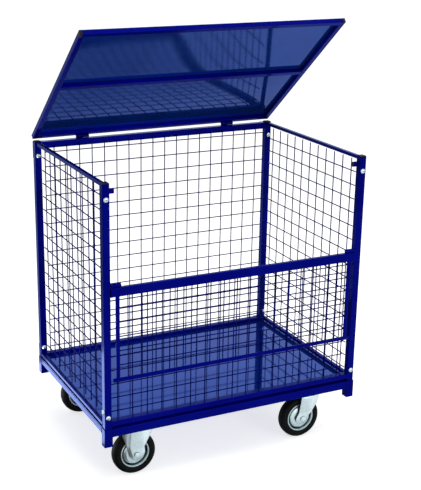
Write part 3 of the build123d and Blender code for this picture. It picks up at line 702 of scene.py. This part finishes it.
def fork_leg(bm, axle, facing, edge, panel):
    top = edge[-1][0]
    rings = []
    for z in leg_heights(edge):
        left, right = edges_at(edge, z)
        if z < AXLE_Z:
            right = math.sqrt(max(0.0, FORK_END ** 2 - (AXLE_Z - z) ** 2))
            left = -right
        lean = max(0.0, z - BEND_Z) * LEAN
        inner, outer = LEG_IN + lean, LEG_OUT + lean
        rise = PRESS * ease((z - PRESS_FOOT) / PRESS_FOOT_RUN)
        rise *= ease((top + PRESS_TOP_OVER - z) / PRESS_TOP_RUN)
        room = (right - left) / 2
        small = min(CORNER, room * CORNER_SHARE)
        soft = min(SHOULDER_WIDE, room * SHOULDER_SHARE)
        panel_left, panel_right = edges_at(panel, z)
        panel_left = max(panel_left, left + room * WING_SHARE)
        panel_right = min(panel_right, right - room * WING_SHARE)
        foot_left = max(left + 2 * small, panel_left - SLOPE)
        foot_right = min(right - 2 * small, panel_right + SLOPE)
        outline = [
            (left + small, inner),
            (left, inner + CORNER),
            (left, outer - CORNER),
            (left + small, outer),
            (foot_left, outer),
            (panel_left - soft, outer + rise * SHOULDER),
            (panel_left + soft, outer + rise),
            (panel_right - soft, outer + rise),
            (panel_right + soft, outer + rise * SHOULDER),
            (foot_right, outer),
            (right - small, outer),
            (right, outer - CORNER),
            (right, inner + CORNER),
            (right - small, inner),
        ]
        rings.append([axle + Vector((x, facing * d, z - AXLE_Z)) * MM for x, d in outline])
    ring_tube(bm, rings)


def fork_form(node, wheels, edge, panel, under):
    """The plate or crown of a fork from its node, with pressed legs below it."""
    bm = cad_mesh(node)
    bmesh.ops.bisect_plane(
        bm, geom=list(bm.verts) + list(bm.edges) + list(bm.faces),
        plane_co=along_axis(Z, (under + CUT_OVER) * MM), plane_no=along_axis(Z),
        clear_inner=True,
    )
    open_edges = [e for e in bm.edges if e.is_boundary]
    bmesh.ops.triangle_fill(bm, edges=open_edges, use_beauty=True)
    round_edges(bm, FORK_EDGE * MM, True)
    for wheel in wheels:
        low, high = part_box("rim_" + wheel)
        for facing in (-1.0, 1.0):
            fork_leg(bm, (low + high) / 2, facing, edge, panel)
    add_form(node, bm)


fork_form("rigid_forks", ("rigid_front", "rigid_rear"), RIGID_EDGE, RIGID_PANEL, PLATE_UNDER)
fork_form("swivel_fork_front", ("swivel_front",), SWIVEL_EDGE, SWIVEL_PANEL, CROWN_UNDER)
fork_form("swivel_fork_rear", ("swivel_rear",), SWIVEL_EDGE, SWIVEL_PANEL, CROWN_UNDER)

# Rounded edges on pressed, moulded and cut pieces, in millimetres
SOFT_EDGES = (
    ("swivel_plates", 1.0), ("panel_nuts", 0.7), ("castor_bolts", 0.8),
    ("castor_nuts", 0.8), ("kingpins", 0.8), ("rigid_axle_bolts", 0.9),
    ("swivel_axle_front", 0.9), ("swivel_axle_rear", 0.9), ("post_caps", 0.8),
    ("lid_caps", 1.2), ("gate_lug_caps", 0.8), ("gate_stiles", 0.8),
    ("gate_free_rail", 0.8), ("front_top_bar", 0.6), ("rear_panel_ears", 0.6),
    ("gate_hinge_bosses", 0.8), ("gate_hinge_barrels", 0.8),
    ("lid_hinge_lower_halves", 0.7), ("lid_hinge_upper_halves", 0.7),
)
for node, width in SOFT_EDGES:
    softened(node, width * MM)

# Floor, world, cards and lamps. Places and sizes are in metres
FLOOR_HALF = 30.0
FLOOR_Z, CARD_Z = -0.0005, 0.002
FLOOR_TONE, FLOOR_ROUGH, FLOOR_LEVEL = 0.84, 0.9, 0.1
FLOOR_GLOW = (("Is Camera Ray", 0.68), ("Is Glossy Ray", 0.2), ("Is Transmission Ray", 0.2))
WORLD_LIGHT, WORLD_SEEN = 0.45, 1.0


def grey(tone):
    return (tone, tone, tone, 1.0)


def oblong(low, high):
    return [(low[0], low[1]), (high[0], low[1]), (high[0], high[1]), (low[0], high[1])]


def flat_sheet(name, corners, z):
    """A four-cornered level sheet with a material of its own."""
    mesh = bpy.data.meshes.new(name)
    mesh.from_pydata([(x, y, 0.0) for x, y in corners], [], [(0, 1, 2, 3)])
    sheet = bpy.data.objects.new(name, mesh)
    sheet.location.z = z
    scene.collection.objects.link(sheet)
    mat = bpy.data.materials.new(name)
    mat.use_nodes = True
    mesh.materials.append(mat)
    return sheet, mat.node_tree


def soft_floor():
    """Pale floor with a soft shadow; it glows for the camera, and less in gloss."""
    corners = oblong((-FLOOR_HALF, -FLOOR_HALF), (FLOOR_HALF, FLOOR_HALF))
    floor, tree = flat_sheet("floor", corners, FLOOR_Z)
    shader = tree.nodes["Principled BSDF"]
    shader.inputs["Base Color"].default_value = grey(FLOOR_TONE)
    shader.inputs["Roughness"].default_value = FLOOR_ROUGH
    shader.inputs["Specular IOR Level"].default_value = FLOOR_LEVEL
    path = tree.nodes.new("ShaderNodeLightPath")
    surface = shader.outputs[0]
    for ray, glow in FLOOR_GLOW:
        light = tree.nodes.new("ShaderNodeEmission")
        light.inputs["Color"].default_value = grey(glow)
        tree.links.new(path.outputs[ray], light.inputs["Strength"])
        both = tree.nodes.new("ShaderNodeAddShader")
        tree.links.new(surface, both.inputs[0])
        tree.links.new(light.outputs[0], both.inputs[1])
        surface = both.outputs[0]
    tree.links.new(surface, tree.nodes["Material Output"].inputs["Surface"])


def white_world():
    """Even light from all sides, seen as plain white."""
    world = bpy.data.worlds.new("studio")
    scene.world = world
    world.use_nodes = True
    tree = world.node_tree
    base = tree.nodes["Background"]
    base.inputs["Color"].default_value = grey(1.0)
    base.inputs["Strength"].default_value = WORLD_LIGHT
    seen = tree.nodes.new("ShaderNodeBackground")
    seen.inputs["Color"].default_value = grey(1.0)
    seen.inputs["Strength"].default_value = WORLD_SEEN
    path = tree.nodes.new("ShaderNodeLightPath")
    direct = path.outputs["Is Camera Ray"]
    for ray in ("Is Glossy Ray", "Is Transmission Ray"):
        either = tree.nodes.new("ShaderNodeMath")
        either.operation = "MAXIMUM"
        tree.links.new(direct, either.inputs[0])
        tree.links.new(path.outputs[ray], either.inputs[1])
        direct = either.outputs[0]
    pick = tree.nodes.new("ShaderNodeMixShader")
    tree.links.new(direct, pick.inputs["Fac"])
    tree.links.new(base.outputs[0], pick.inputs[1])
    tree.links.new(seen.outputs[0], pick.inputs[2])
    tree.links.new(pick.outputs[0], tree.nodes["World Output"].inputs["Surface"])


def card(name, corners, tone, glow=0.0):
    """A studio card on the floor, seen only in the gloss of the paint and the zinc."""
    sheet, tree = flat_sheet(name, corners, CARD_Z)
    shader = tree.nodes["Principled BSDF"]
    shader.inputs["Base Color"].default_value = grey(tone)
    shader.inputs["Emission Color"].default_value = grey(1.0)
    shader.inputs["Emission Strength"].default_value = glow
    sheet.visible_camera = False
    sheet.visible_diffuse = False
    sheet.visible_shadow = False


def softbox(name, place, target, size, power, in_gloss=True):
    """A rectangular lamp that the camera doesn't see."""
    data = bpy.data.lights.new(name, "AREA")
    data.shape = "RECTANGLE"
    data.size, data.size_y = size
    data.energy = power
    lamp = bpy.data.objects.new(name, data)
    aim = (Vector(target) - Vector(place)).to_track_quat("-Z", "Y")
    lamp.matrix_world = Matrix.Translation(place) @ aim.to_matrix().to_4x4()
    lamp.visible_camera = False
    lamp.visible_glossy = in_gloss
    scene.collection.objects.link(lamp)


soft_floor()
white_world()
card("left_flag", oblong((-3.4, 1.75), (-1.45, 3.5)), tone=0.01)
card("post_flag", [(-1.16, 0.95), (-1.16, 1.65), (-1.46, 2.5), (-1.46, 1.7)], tone=0.01)
card("post_half_flag", [(-1.05, 0.7), (-1.05, 1.35), (-1.16, 1.65), (-1.16, 0.95)], tone=0.35)
card("fork_flag", oblong((-0.75, -0.75), (-0.393, -0.28)), tone=0.06)
card("fork_card_left", oblong((-0.245, -0.52), (0.05, -0.29)), tone=0.8, glow=0.6)
card("fork_card_right", oblong((0.455, -0.52), (0.75, -0.29)), tone=0.8, glow=0.45)
softbox("top_softbox", (0.3, -0.6, 4.2), (0.0, 0.0, 0.6), size=(3.0, 3.0), power=80.0, in_gloss=False)
softbox("front_fill", (1.5, -5.0, 2.2), (0.0, 0.0, 0.7), size=(2.5, 2.0), power=50.0)
softbox("left_light_table", (-0.92, 0.36, 0.005), (-0.92, 0.36, 1.0), size=(0.7, 0.8), power=6.0)

bpy.context.view_layer.update()
